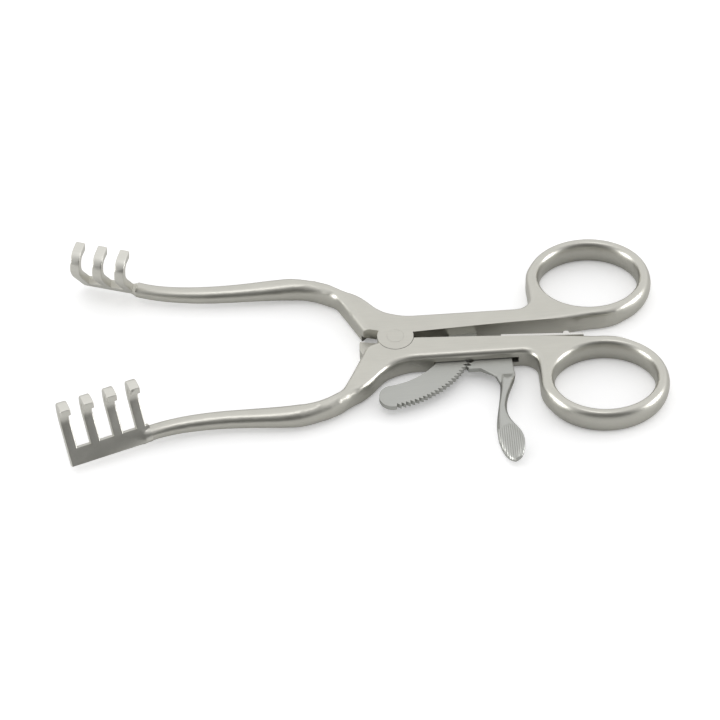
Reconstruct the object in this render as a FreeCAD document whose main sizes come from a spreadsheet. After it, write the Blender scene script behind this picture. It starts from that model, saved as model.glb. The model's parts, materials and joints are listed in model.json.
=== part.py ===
import FreeCAD, Part
import math
import os

import Sketcher
from FreeCAD import Placement, Rotation, Vector

# A self retaining retractor of about 140 mm: two arms that turn on one rivet, each with a finger ring
# and a prong blade welded to its tip, and a toothed bar that a sprung lever on the near arm holds.
# X runs along the instrument with the rings at +X, Y to the far arm, Z up from the table that it lies on.
# The origin is on the rivet's axis, on the ground underside. Lengths are in mm and angles in degrees.

DRIVING_SIZES = {
    # The ground joint that both arms share
    "arm_thickness": 6.3,
    "hub_radius": 4.2,
    "hub_clearance": 0.12,
    "lap_gap": 0.06,
    "tongue_radius": 8.4,
    "tongue_angle": 168,
    "tongue_side_angle": 187,
    "tongue_root_x": -7.05,
    "tongue_root_y": 4.1,
    "tongue_root_angle": 212,
    "pocket_angle": 121,
    "pocket_clearance": 0.2,
    "rivet_radius": 1.6,
    "rivet_head_radius": 1.95,
    "rivet_head_depth": 0.5,
    "rivet_clearance": 0.03,
    # Plan of one shank, measured from the axis of the instrument
    "inner_face_offset": 0.72,
    "inner_face_end_x": 46.9,
    "inner_face_end_y": 3.25,
    "grinding_allowance": 2.6,
    "notch_spare_share": 0.3,
    "notch_corner_x": -7.3,
    "notch_corner_y": 3.1,
    "elbow_inner_x": -11.3,
    "elbow_inner_y": 11.5,
    "elbow_point_x": -13.0,
    "elbow_point_y": 14.6,
    "elbow_crown_x": -12.0,
    "elbow_crown_y": 17.2,
    "elbow_outer_x": -7.2,
    "elbow_outer_y": 14.3,
    "shoulder_start_x": -4.6,
    "shoulder_start_y": 11.3,
    "shoulder_end_x": 4.5,
    "shoulder_radius": 12.0,
    "shank_outer_y": 7.0,
    "web_radius": 3.6,
    "shank_edge_round": 1.6,
    # Finger ring, an oval of one section
    "ring_centre_x": 46.9,
    "ring_centre_y": 16.1,
    "ring_length": 29.6,
    "ring_breadth": 25.8,
    "ring_wall": 3.3,
    "ring_edge_round": 1.45,
    # Prong blades
    "blade_heading_angle": 19,
    "blade_bottom": 1.2,
    "blade_thickness": 1.9,
    "blade_lean_angle": 34,
    "blade_straight_height": 8.0,
    "blade_bend_radius": 8.5,
    "hook_radius": 2.7,
    "hook_turn_angle": 86,
    "hook_point_length": 2.1,
    "hook_point_thickness": 2.0,
    "prong_width": 2.3,
    "prong_pitch": 5.45,
    "prong_edge_round": 0.3,
    "near_prong_count": 4,
    "far_prong_count": 3,
    "blade_shoulder": 0.7,
    "far_blade_setback": 0.3,
    "blade_neck_length": 2.2,
    "blade_neck_height": 4.2,
    "slot_floor_height": 3.2,
    "near_weld_x": -57.25,
    "near_weld_y": 22.45,
    # Ratchet bar, an arc whose middle stands a little off the rivet
    "ratchet_thickness": 1.25,
    "ratchet_side_clearance": 0.24,
    "ratchet_arc_x": -4.5,
    "ratchet_arc_y": 3.9,
    "ratchet_arc_radius": 23.7,
    "ratchet_width": 6.4,
    "ratchet_root_angle": 5,
    "ratchet_tip_angle": -83.8,
    "ratchet_seat_angle": -20,
    "tooth_pitch_angle": 2.62,
    "tooth_depth": 0.8,
    "tooth_steep_angle": 0.7,
    "tooth_land_angle": 0.25,
    "first_tooth_angle": -82.02,
    "tooth_count": 22,
    "ratchet_pin_radius": 0.8,
    "ratchet_pin_angle": -0.5,
    "ratchet_pin_spacing": 2.6,
    # Slot of the near shank, and the release lever that turns in it
    "slot_start_x": 8.4,
    "slot_end_margin": 0.6,
    "lever_pin_radius": 0.8,
    "lever_pin_x": 20.7,
    "lever_pin_y": -4.7,
    "lever_bore_clearance": 0.03,
    "lever_boss_radius": 2.0,
    "pawl_tip_clearance": 0.12,
    "pawl_tooth_count": 2,
    "pawl_tooth_depth": 0.8,
    "pawl_tooth_base_angle": 1.9,
    "pawl_tooth_lean_angle": 0.45,
    "pawl_first_tooth_angle": -31.3,
    "pawl_low_angle": -33.2,
    "pawl_high_angle": -27.4,
    "pawl_toe_angle": -35.6,
    "pawl_toe_relief": 0.7,
    "pawl_heel_x": 18.9,
    "pawl_heel_y": -10.6,
    "lever_back_x": 26.3,
    "lever_back_y": -4.6,
    "lever_heel_x": 26.8,
    "lever_heel_y": -11.8,
    "stem_root_x": 25.3,
    "stem_root_y": -15.4,
    "stem_left_x": 23.3,
    "lever_throat_x": 22.2,
    "lever_throat_y": -11.9,
    # Leaf spring on the inner face of the near shank
    "spring_thickness": 0.6,
    "spring_height": 5.8,
    "spring_tip_height": 1.2,
    "spring_start_x": 22.2,
    "spring_bend_x": 24.4,
    "spring_end_x": 43.5,
    "spring_tip_drop": 0.95,
    "spring_hole_clearance": 0.03,
    "screw_x": 39.6,
    "screw_rise": 0.9,
    "screw_head_radius": 1.4,
    "screw_head_height": 1.2,
    "screw_radius": 0.8,
    "screw_length": 2.6,
    "steady_pin_x": 34.4,
    "steady_pin_radius": 0.5,
    "steady_pin_length": 1.6,
    "steady_pin_stand": 0.15,
}

# Stations of the bar from the blade to the joint: place of the middle line, how far the bar has turned
# from the instrument's axis, and its width and height. The heights past the elbow are ground off flat.
BAR_STATIONS = {
    "bar_bend": {"x": -51.5, "y": 20.9, "turn_angle": 12, "width": 3.68, "height": 3.7},
    "bar_straight": {"x": -44.0, "y": 20.05, "turn_angle": 3, "width": 3.95, "height": 4.0},
    "bar_middle": {"x": -34.0, "y": 20.0, "turn_angle": -1, "width": 4.35, "height": 4.4},
    "bar_root": {"x": -25.5, "y": 20.2, "turn_angle": 2, "width": 4.85, "height": 5.2},
    "elbow_start": {"x": -20.0, "y": 19.6, "turn_angle": 14, "width": 4.6, "height": 6.0},
    "elbow_middle": {"x": -15.9, "y": 18.1, "turn_angle": 27, "width": 4.1, "height": 7.4},
    "elbow_end": {"x": -12.5, "y": 16.0, "turn_angle": 37, "width": 3.5, "height": 9.6},
    "bar_anchor": {"x": -9.8, "y": 13.2, "turn_angle": 42, "width": 2.4, "height": 8.0},
}
BAR_TIP = {"width": 3.58, "height": 3.6}

# Stations of the lever's stem and thumb pad along -Y, as breadths across and along a twisting section
STEM_STATIONS = {
    "stem_start": {"x": 24.9, "y": -9.6, "breadth": 1.6, "thickness": 1.2, "twist_angle": 0},
    "stem_shoulder": {"x": 24.9, "y": -12.6, "breadth": 3.3, "thickness": 3.0, "twist_angle": 0},
    "stem_neck": {"x": 23.8, "y": -17.0, "breadth": 2.3, "thickness": 2.7, "twist_angle": 0},
    "stem_waist": {"x": 22.7, "y": -22.6, "breadth": 2.1, "thickness": 2.5, "twist_angle": 8},
    "pad_start": {"x": 22.7, "y": -26.4, "breadth": 4.0, "thickness": 2.2, "twist_angle": 38},
    "pad_middle": {"x": 23.7, "y": -31.0, "breadth": 6.8, "thickness": 2.1, "twist_angle": 48},
    "pad_low": {"x": 24.5, "y": -34.9, "breadth": 5.8, "thickness": 1.8, "twist_angle": 50},
    "pad_end": {"x": 24.8, "y": -37.1, "breadth": 2.6, "thickness": 1.0, "twist_angle": 50},
}

FAR = 1
NEAR = -1


def all_sizes():
    """Gather the driving sizes and the stations' sizes under one name each."""
    table = dict(DRIVING_SIZES)
    for stations in (BAR_STATIONS, {"bar_tip": BAR_TIP}, STEM_STATIONS):
        for station, values in stations.items():
            for key, value in values.items():
                table[f"{station}_{key}"] = value
    return table


doc = FreeCAD.newDocument("Retractor")
sheet = doc.addObject("Spreadsheet::Sheet", "Sizes")
for row, (alias, number) in enumerate(all_sizes().items(), start=1):
    sheet.set(f"A{row}", alias)
    sheet.set(f"B{row}", str(number))
    sheet.setAlias(f"B{row}", alias)
doc.recompute()


class Measure:
    """A size that knows its value and the expression that gives it."""

    def __init__(self, value, text):
        self.value = value
        self.text = text

    def __add__(self, other):
        other = measure(other)
        return Measure(self.value + other.value, f"({self.text} + {other.text})")

    def __sub__(self, other):
        other = measure(other)
        return Measure(self.value - other.value, f"({self.text} - {other.text})")

    def __mul__(self, other):
        other = measure(other)
        return Measure(self.value * other.value, f"({self.text} * {other.text})")

    def __truediv__(self, other):
        other = measure(other)
        return Measure(self.value / other.value, f"({self.text} / {other.text})")

    def __neg__(self):
        return self * -1


def measure(number):
    return number if isinstance(number, Measure) else Measure(float(number), repr(float(number)))


def size(alias):
    return Measure(float(sheet.get(alias)), f"Sizes.{alias}")


def cosine(angle):
    return Measure(math.cos(math.radians(angle.value)), f"cos({angle.text})")


def sine(angle):
    return Measure(math.sin(math.radians(angle.value)), f"sin({angle.text})")


def polar(centre, radius, angle):
    """A point at a radius and an angle from a centre."""
    return centre[0] + radius * cosine(angle), centre[1] + radius * sine(angle)


ORIGIN = (measure(0), measure(0))
HALF = size("arm_thickness") / 2
HALF_GAP = size("lap_gap") / 2
LAP_HEIGHT = HALF - HALF_GAP
THICKNESS = size("arm_thickness")


def new_body(label):
    body = doc.addObject("PartDesign::Body", label)
    body.Label = label
    return body


def new_sketch(body, name, role="XY_Plane", offset=ORIGIN + (measure(0),), axis=None, angle=None):
    """A sketch on one of the body's origin planes, moved by offset and turned about axis."""
    sketch = body.newObject("Sketcher::SketchObject", f"{body.Label}_{name}")
    plane = [feature for feature in body.Origin.OriginFeatures if feature.Role == role][0]
    sketch.AttachmentSupport = [(plane, "")]
    sketch.MapMode = "FlatFace"
    turn = Rotation(axis, angle.value) if axis else Rotation()
    sketch.AttachmentOffset = Placement(Vector(*[part.value for part in offset]), turn)
    for letter, part in zip("xyz", offset):
        sketch.setExpression(f"AttachmentOffset.Base.{letter}", part.text)
    if axis:
        sketch.setExpression("AttachmentOffset.Rotation.Angle", angle.text)
    return sketch


def bind(sketch, kind, *geometry, to):
    """Add one dimension to a sketch and tie it to an expression of the sheet."""
    index = sketch.addConstraint(Sketcher.Constraint(kind, *geometry, to.value))
    sketch.setExpression(f"Constraints[{index}]", to.text)


def place_point(sketch, geometry, position, point):
    bind(sketch, "DistanceX", -1, 1, geometry, position, to=point[0])
    bind(sketch, "DistanceY", -1, 1, geometry, position, to=point[1])


def circle(sketch, centre, radius):
    middle = Vector(centre[0].value, centre[1].value, 0)
    index = sketch.addGeometry(Part.Circle(middle, Vector(0, 0, 1), radius.value))
    place_point(sketch, index, 3, centre)
    bind(sketch, "Radius", index, to=radius)


def ellipse(sketch, centre, across, up):
    """An ellipse by its breadths along the sketch's x and y."""
    middle = Vector(centre[0].value, centre[1].value, 0)
    side_point = middle + Vector(across.value / 2, 0, 0)
    top_point = middle + Vector(0, up.value / 2, 0)
    upright = up.value > across.value
    points = (top_point, middle - Vector(across.value / 2, 0, 0)) if upright else (side_point, top_point)
    index = sketch.addGeometry(Part.Ellipse(points[0], points[1], middle))
    sketch.exposeInternalGeometry(index)
    place_point(sketch, index, 3, centre)
    sketch.addConstraint(Sketcher.Constraint("Vertical" if upright else "Horizontal", index + 1))
    bind(sketch, "Distance", index + 1, to=up if upright else across)
    bind(sketch, "Distance", index + 2, to=across if upright else up)


def arc_between(start, end, radius, side):
    """The arc from start to end whose middle lies on the left (side 1) or right (side -1) of the way."""
    chord = end - start
    reach = math.sqrt(max(radius ** 2 - (chord.Length / 2) ** 2, 0))
    left = Vector(-chord.y, chord.x, 0).normalize()
    centre = (start + end) * 0.5 + left * (reach * side)
    first, last = (start, end) if side > 0 else (end, start)
    angles = [math.atan2((point - centre).y, (point - centre).x) for point in (first, last)]
    if angles[1] < angles[0]:
        angles[1] += 2 * math.pi
    return Part.ArcOfCircle(Part.Circle(centre, Vector(0, 0, 1), radius), *angles)


def outline(sketch, corners, arcs=None):
    """Close a profile through its corners. arcs gives, for the side after a corner, (radius, side)."""
    arcs = arcs or {}
    points = [Vector(x.value, y.value, 0) for x, y in corners]
    ends = []
    for number, start in enumerate(points):
        end = points[(number + 1) % len(points)]
        if number in arcs:
            radius, side = arcs[number]
            index = sketch.addGeometry(arc_between(start, end, radius.value, side))
            bind(sketch, "Radius", index, to=radius)
            ends.append((index, 1, 2) if side > 0 else (index, 2, 1))
        else:
            index = sketch.addGeometry(Part.LineSegment(start, end))
            ends.append((index, 1, 2))
    for number, corner in enumerate(corners):
        index, first, last = ends[number]
        before = ends[number - 1]
        sketch.addConstraint(Sketcher.Constraint("Coincident", before[0], before[2], index, first))
        place_point(sketch, index, first, corner)


def pad(body, sketch, length, backwards=False):
    feature = body.newObject("PartDesign::Pad", f"{sketch.Name}_pad")
    feature.Profile = sketch
    feature.setExpression("Length", length.text)
    feature.Reversed = backwards
    doc.recompute()
    return feature


def pocket(body, sketch, length, upwards=True):
    """Cut away what the sketch covers, along the sketch's normal when upwards."""
    before = body.Shape.Volume
    feature = body.newObject("PartDesign::Pocket", f"{sketch.Name}_pocket")
    feature.Profile = sketch
    feature.setExpression("Length", length.text)
    feature.Reversed = upwards
    doc.recompute()
    if body.Shape.Volume > before - 1e-6:
        raise RuntimeError(f"{feature.Name} cuts nothing")
    return feature


def loft(body, name, sections):
    feature = body.newObject("PartDesign::AdditiveLoft", f"{body.Label}_{name}")
    feature.Profile = sections[0]
    feature.Sections = sections[1:]
    doc.recompute()
    return feature


def round_edges(body, name, radius, chosen):
    """Fillet the edges of the body's last feature that chosen picks."""
    tip = body.Tip
    names = [f"Edge{number}" for number, edge in enumerate(tip.Shape.Edges, start=1) if chosen(edge)]
    feature = body.newObject("PartDesign::Fillet", f"{body.Label}_{name}")
    feature.Base = (tip, names)
    feature.setExpression("Radius", radius.text)
    doc.recompute()
    return feature


def middle_of(edge):
    return edge.valueAt((edge.FirstParameter + edge.LastParameter) / 2)


def is_level(edge):
    """Whether an edge lies in the top or the bottom face of an arm."""
    heights = [middle_of(edge).z] + [vertex.Z for vertex in edge.Vertexes]
    return any(max(abs(height - level) for height in heights) < 1e-6 for level in (0, THICKNESS.value))


def in_ring_hole(edge):
    """Whether an edge runs round the hole of the finger ring."""
    point = middle_of(edge)
    wall = size("ring_wall").value
    across = (point.x - size("ring_centre_x").value) / (size("ring_length").value / 2 - wall)
    along = (abs(point.y) - size("ring_centre_y").value) / (size("ring_breadth").value / 2 - wall)
    return across ** 2 + along ** 2 < 1.05


def mirrored(points, side):
    return [(x, y * side) for x, y in points]


def plan_point(name, side=FAR):
    return size(f"{name}_x"), size(f"{name}_y") * side


def inner_face_slope():
    rise = size("inner_face_end_y") - size("inner_face_offset")
    return rise / size("inner_face_end_x")


def web_start():
    """Where the shank's outer side turns out into the web beside the ring."""
    return size("ring_centre_x") - size("ring_length") / 2 + 0.1 - size("web_radius")


def shank_blank(body, side):
    """The shank and the web beside the ring, with grinding allowance on the inner side."""
    allowance = size("grinding_allowance")
    start_y = size("shank_outer_y")
    ring_left = size("ring_centre_x") - size("ring_length") / 2
    web_y = start_y + size("web_radius")
    elbow, notch, share = plan_point("elbow_inner"), plan_point("notch_corner"), size("notch_spare_share")
    corners = [
        plan_point("elbow_point"),
        elbow,
        (notch[0] + (notch[0] - elbow[0]) * share, notch[1] + (notch[1] - elbow[1]) * share),
        (measure(0), size("inner_face_offset") - allowance),
        (size("inner_face_end_x"), size("inner_face_end_y")),
        (ring_left + 0.05, size("ring_centre_y")),
        (ring_left + 0.1, web_y),
        (web_start(), start_y),
        (size("shoulder_end_x"), start_y),
        plan_point("shoulder_start"),
        plan_point("elbow_outer"),
        plan_point("elbow_crown"),
    ]
    sketch = new_sketch(body, "plan")
    arcs = {6: (size("web_radius"), -side), 8: (size("shoulder_radius"), -side)}
    outline(sketch, mirrored(corners, side), arcs)
    pad(body, sketch, THICKNESS)


def finger_ring(body, side):
    centre = (size("ring_centre_x"), size("ring_centre_y") * side)
    outer = new_sketch(body, "ring")
    ellipse(outer, centre, size("ring_length"), size("ring_breadth"))
    pad(body, outer, THICKNESS)
    hole = new_sketch(body, "ring_hole")
    two_walls = size("ring_wall") * 2
    ellipse(hole, centre, size("ring_length") - two_walls, size("ring_breadth") - two_walls)
    pocket(body, hole, THICKNESS)
    round_edges(body, "outer_round", size("shank_edge_round"), lambda e: is_level(e) and not in_ring_hole(e))
    round_edges(body, "hole_round", size("ring_edge_round"), lambda e: is_level(e) and in_ring_hole(e))


def grind_inner_face(body, side):
    """Cut the blank back to the flat inner face and the notch face."""
    start = size("inner_face_offset")
    far_x = size("inner_face_end_x") * 2
    beyond = size("notch_corner_x") * 3
    corners = [
        (measure(0), start),
        (far_x, start + inner_face_slope() * far_x),
        (far_x, beyond),
        (beyond, beyond),
        (beyond, start + (size("notch_corner_y") - start) * 3),
    ]
    sketch = new_sketch(body, "inner_face")
    outline(sketch, mirrored(corners, side))
    pocket(body, sketch, THICKNESS)


def bar_section(body, name, place, turn, width, height, side):
    """One oval section of the bar, square to the bar's middle line."""
    offset = (place[0], HALF, -place[1] * side)
    sketch = new_sketch(body, name, "XZ_Plane", offset, Vector(0, side, 0), measure(90) - turn)
    ellipse(sketch, ORIGIN, width, height)
    return sketch


def weld_place(side):
    """Where the bar meets its blade. The far blade stands half a pitch further out, so they interlock."""
    near = (size("near_weld_x"), size("near_weld_y"))
    if side == NEAR:
        return near
    step = size("prong_pitch") / 2 - size("far_blade_setback")
    heading = size("blade_heading_angle")
    return near[0] - step * cosine(heading), near[1] + step * sine(heading)


def bar(body, side):
    tip = bar_section(body, "bar_tip", weld_place(side), size("blade_heading_angle"),
                      size("bar_tip_width"), size("bar_tip_height"), side)
    sections = [tip]
    for name in BAR_STATIONS:
        sections.append(bar_section(body, name, plan_point(name), size(f"{name}_turn_angle"),
                                    size(f"{name}_width"), size(f"{name}_height"), side))
    loft(body, "bar", sections)
    spare = size("bar_anchor_height")
    reach = size("elbow_point_x") * 3
    for name, height, upwards in (("top_grind", THICKNESS, True), ("bottom_grind", measure(0), False)):
        sketch = new_sketch(body, name, offset=ORIGIN + (height,))
        far_y = size("elbow_point_y") * 2 * side
        outline(sketch, [(reach, measure(0)), (measure(0), measure(0)), (measure(0), far_y), (reach, far_y)])
        pocket(body, sketch, spare, upwards)


def half_lap(body, side):
    """The round boss of this arm's level, and the round seat for the other arm's boss."""
    own_level = HALF + HALF_GAP if side == FAR else measure(0)
    other_level = measure(0) if side == FAR else HALF - HALF_GAP
    other_height = HALF + HALF_GAP
    boss = new_sketch(body, "boss", offset=ORIGIN + (own_level,))
    circle(boss, ORIGIN, size("hub_radius"))
    pad(body, boss, LAP_HEIGHT)
    seat = new_sketch(body, "seat", offset=ORIGIN + (other_level,))
    circle(seat, ORIGIN, size("hub_radius") + size("hub_clearance"))
    pocket(body, seat, other_height)


def sector(sketch, radius, start, end):
    corners = [ORIGIN, polar(ORIGIN, radius, start), polar(ORIGIN, radius, end)]
    outline(sketch, corners, {1: (radius, 1)})


def stop_tongue(body):
    """The near arm's lower half reaches past the notch as a round tongue."""
    sketch = new_sketch(body, "tongue")
    radius = size("tongue_radius")
    outline(sketch, [
        ORIGIN,
        polar(ORIGIN, radius, size("tongue_angle")),
        polar(ORIGIN, radius, size("tongue_side_angle")),
        plan_point("tongue_root", NEAR),
    ], {1: (radius, 1)})
    pad(body, sketch, LAP_HEIGHT)


def tongue_pocket(body):
    """The far arm's lower half leaves room for the tongue over the whole travel."""
    sketch = new_sketch(body, "tongue_pocket")
    radius = size("tongue_radius") + size("pocket_clearance")
    sector(sketch, radius, size("pocket_angle"), size("tongue_root_angle"))
    pocket(body, sketch, HALF + HALF_GAP)


def rivet_bore(body, side):
    """The near arm grips the rivet; the far arm turns on it."""
    play = size("rivet_clearance") if side == FAR else measure(0)
    level = THICKNESS if side == FAR else measure(0)
    bore = new_sketch(body, "rivet_bore")
    circle(bore, ORIGIN, size("rivet_radius") + play)
    pocket(body, bore, THICKNESS)
    sink = new_sketch(body, "rivet_sink", "XZ_Plane")
    depth = size("rivet_head_depth") * (-1 if side == FAR else 1)
    outline(sink, [
        (measure(0), level),
        (size("rivet_head_radius") + play, level),
        (size("rivet_radius") + play, level + depth),
        (measure(0), level + depth),
    ])
    groove = body.newObject("PartDesign::Groove", f"{body.Label}_rivet_sink_groove")
    groove.Profile = sink
    groove.ReferenceAxis = (sink, ["V_Axis"])
    groove.Angle = 360
    doc.recompute()


def make_arm(label, side):
    body = new_body(label)
    shank_blank(body, side)
    finger_ring(body, side)
    grind_inner_face(body, side)
    bar(body, side)
    half_lap(body, side)
    if side == NEAR:
        stop_tongue(body)
    else:
        tongue_pocket(body)
    rivet_bore(body, side)
    return body


def blade_station(side, along, plane_turn, height):
    """Origin and turn of a sketch on the upright plane at a distance along a blade."""
    weld = weld_place(side)
    heading = size("blade_heading_angle")
    place = (weld[0] - along * cosine(heading), height, -(weld[1] + along * sine(heading)) * side)
    return {"role": "XZ_Plane", "offset": place, "axis": Vector(0, side, 0), "angle": plane_turn}


def across_blade(side, along):
    """A plane square to the blade: x runs outward from the wound side, y up from the blade's foot."""
    return blade_station(side, along, measure(90) - size("blade_heading_angle"), size("blade_bottom"))


def blade_profile():
    """The corners of a prong seen from its end, and the arcs between them."""
    lean = size("blade_lean_angle")
    turn = size("hook_turn_angle")
    thick = size("blade_thickness")
    straight = size("blade_straight_height")
    bend = size("blade_bend_radius")
    hook = size("hook_radius")
    middle_height = HALF - size("blade_bottom")
    slope = sine(lean) / cosine(lean)
    foot = middle_height * slope - thick / 2 / cosine(lean)

    def square_off(point, distance, angle):
        return point[0] + distance * cosine(angle), point[1] + distance * sine(angle)

    front = [(foot, measure(0)), (foot - straight * slope, straight)]
    bend_centre = square_off(front[1], bend, lean)
    front.append((bend_centre[0] - bend, bend_centre[1]))
    hook_centre = (front[2][0] + hook, front[2][1])
    front.append(square_off(hook_centre, hook, measure(180) - turn))
    front.append(square_off(front[3], size("hook_point_length"), measure(90) - turn))
    back = [square_off(front[4], size("hook_point_thickness"), -turn)]
    back.append(square_off(hook_centre, hook - thick, measure(180) - turn))
    back.append((front[2][0] + thick, front[2][1]))
    back.append(square_off(front[1], thick, lean))
    back.append(square_off(front[0], thick, lean))
    return front, back


def outline_prong(sketch):
    front, back = blade_profile()
    thick = size("blade_thickness")
    bend = size("blade_bend_radius")
    hook = size("hook_radius")
    arcs = {1: (bend, -1), 2: (hook, -1), 6: (hook - thick, 1), 7: (bend - thick, 1)}
    outline(sketch, front + back, arcs)


def make_blade(label, side, count_name):
    body = new_body(label)
    backwards = side == FAR
    shoulder = size("blade_shoulder")
    steps = size("prong_pitch") * (size(count_name) - 1)
    front, back = blade_profile()
    thick = size("blade_thickness")
    lean = size("blade_lean_angle")

    plate = new_sketch(body, "plate", **across_blade(side, measure(0)))
    floor = size("slot_floor_height")
    slope = sine(lean) / cosine(lean)
    top_front = (front[0][0] - floor * slope, floor)
    top_back = (top_front[0] + thick * cosine(lean), top_front[1] + thick * sine(lean))
    outline(plate, [front[0], top_front, top_back, back[-1]])
    pad(body, plate, shoulder + steps + size("prong_width"), backwards)

    prong = new_sketch(body, "prong", **across_blade(side, shoulder))
    outline_prong(prong)
    first = pad(body, prong, size("prong_width"), backwards)

    row = body.newObject("PartDesign::LinearPattern", f"{label}_prong_row")
    row.Originals = [first]
    row.Direction = (prong, ["N_Axis"])
    row.Reversed = backwards
    row.setExpression("Length", steps.text)
    row.setExpression("Occurrences", f"Sizes.{count_name}")
    body.Tip = row
    doc.recompute()

    long_edges = prong_edges(body.Tip.Shape, side)
    round_edges(body, "prong_round", size("prong_edge_round"), lambda e: e.hashCode() in long_edges)

    neck_start = new_sketch(body, "neck_start", **blade_station(
        side, measure(0), measure(90) - size("blade_heading_angle"), HALF))
    ellipse(neck_start, ORIGIN, size("bar_tip_width"), size("bar_tip_height"))
    neck_end = new_sketch(body, "neck_end", **blade_station(
        side, size("blade_neck_length"), measure(90) - size("blade_heading_angle"), HALF))
    leaning_ellipse(neck_end, thick * 0.9, size("blade_neck_height"), lean)
    loft(body, "neck", [neck_start, neck_end])
    return body


def leaning_ellipse(sketch, across, along, lean):
    """An upright ellipse that leans to the left, like the plate of a blade."""
    long_half = Vector(-math.sin(math.radians(lean.value)), math.cos(math.radians(lean.value)), 0)
    side_half = Vector(long_half.y, -long_half.x, 0)
    curve = Part.Ellipse(long_half * (along.value / 2), side_half * (across.value / -2), Vector(0, 0, 0))
    index = sketch.addGeometry(curve)
    sketch.exposeInternalGeometry(index)
    place_point(sketch, index, 3, ORIGIN)
    bind(sketch, "Angle", index + 1, to=measure(90) + lean)
    bind(sketch, "Distance", index + 1, to=along)
    bind(sketch, "Distance", index + 2, to=across)


def prong_edges(shape, side):
    """The free edges of the prongs above the slots' floor, apart from those that a prong shares."""
    floor = (size("blade_bottom") + size("slot_floor_height") + size("blade_thickness")).value
    return {edge.hashCode() for edge in shape.Edges if min(v.Z for v in edge.Vertexes) > floor}


def upright_pin(label, place, radius, low, high):
    body = new_body(label)
    sketch = new_sketch(body, "round", offset=ORIGIN + (low,))
    circle(sketch, place, radius)
    pad(body, sketch, high - low)
    return body


def make_rivet():
    body = new_body("pivot_rivet")
    half = new_sketch(body, "half", "XZ_Plane")
    depth = size("rivet_head_depth")
    outline(half, [
        ORIGIN,
        (size("rivet_head_radius"), measure(0)),
        (size("rivet_radius"), depth),
        (size("rivet_radius"), THICKNESS - depth),
        (size("rivet_head_radius"), THICKNESS),
        (measure(0), THICKNESS),
    ])
    turned(body, half)


def turned(body, sketch):
    feature = body.newObject("PartDesign::Revolution", f"{sketch.Name}_turned")
    feature.Profile = sketch
    feature.ReferenceAxis = (sketch, ["V_Axis"])
    feature.Angle = 360
    doc.recompute()
    return feature


def ratchet_centre():
    return size("ratchet_arc_x"), size("ratchet_arc_y")


def ratchet_inner_radius():
    return size("ratchet_arc_radius") - size("ratchet_width")


def arc_band(sketch, inner, outer, start, end, ends_round=False):
    """A band between two radii and two angles about the sketch's origin."""
    corners = [polar(ORIGIN, outer, start), polar(ORIGIN, outer, end),
               polar(ORIGIN, inner, end), polar(ORIGIN, inner, start)]
    arcs = {0: (outer, 1), 2: (inner, -1)}
    if ends_round:
        arcs[3] = ((outer - inner) / 2 + 0.05, 1)
    outline(sketch, corners, arcs)


def ratchet_level():
    return HALF - size("ratchet_thickness") / 2


def ratchet_teeth(body, low, arc_sketch):
    """Saw teeth along the outer edge, steep on the side that holds the blades apart."""
    radius = size("ratchet_arc_radius")
    first = size("first_tooth_angle")
    pitch = size("tooth_pitch_angle")
    land = size("tooth_land_angle")
    beyond = radius + size("tooth_depth") / 4
    notch = new_sketch(body, "tooth_gap", offset=ratchet_centre() + (low,))
    outline(notch, [
        polar(ORIGIN, radius, first + land),
        polar(ORIGIN, radius - size("tooth_depth"), first + size("tooth_steep_angle")),
        polar(ORIGIN, radius, first + pitch),
        polar(ORIGIN, beyond, first + pitch / 2),
    ])
    cut = pocket(body, notch, size("ratchet_thickness"))
    row = body.newObject("PartDesign::PolarPattern", f"{body.Label}_tooth_row")
    row.Originals = [cut]
    row.Axis = (notch, ["N_Axis"])
    row.setExpression("Angle", (pitch * (size("tooth_count") - 1)).text)
    row.setExpression("Occurrences", "Sizes.tooth_count")
    body.Tip = row
    doc.recompute()


def make_ratchet():
    body = new_body("ratchet_bar")
    low = ratchet_level()
    band = new_sketch(body, "band", offset=ratchet_centre() + (low,))
    arc_band(band, ratchet_inner_radius(), size("ratchet_arc_radius"),
             size("ratchet_tip_angle"), size("ratchet_root_angle"), True)
    pad(body, band, size("ratchet_thickness"))
    ratchet_teeth(body, low, band)
    for number, place in enumerate(ratchet_pin_places(), start=1):
        hole = new_sketch(body, f"pin_hole_{number}", offset=ORIGIN + (low,))
        circle(hole, place, size("ratchet_pin_radius"))
        pocket(body, hole, size("ratchet_thickness"))
    return body


def ratchet_pin_places():
    middle = size("ratchet_arc_radius") - size("ratchet_width") / 2
    step = size("ratchet_pin_spacing") / 2
    angle = size("ratchet_pin_angle")
    return [polar(ratchet_centre(), middle - step, angle), polar(ratchet_centre(), middle + step, angle)]


def make_ratchet_pins():
    """Two pins that are ground flush with the far arm, as one node."""
    body = new_body("ratchet_pins")
    first, second = ratchet_pin_places()
    sketch = new_sketch(body, "first")
    circle(sketch, first, size("ratchet_pin_radius"))
    circle(sketch, second, size("ratchet_pin_radius"))
    pad(body, sketch, THICKNESS)
    return body


def cut_ratchet_seat(body):
    """The blind slot and the pin holes of the far arm."""
    play = size("hub_clearance") / 4
    seat = new_sketch(body, "ratchet_seat", offset=ratchet_centre() + (ratchet_level(),))
    arc_band(seat, ratchet_inner_radius() - play, size("ratchet_arc_radius") + play,
             size("ratchet_seat_angle"), size("ratchet_root_angle") + play)
    pocket(body, seat, size("ratchet_thickness"))
    for number, place in enumerate(ratchet_pin_places(), start=1):
        hole = new_sketch(body, f"ratchet_pin_hole_{number}")
        circle(hole, place, size("ratchet_pin_radius"))
        pocket(body, hole, THICKNESS)


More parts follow.
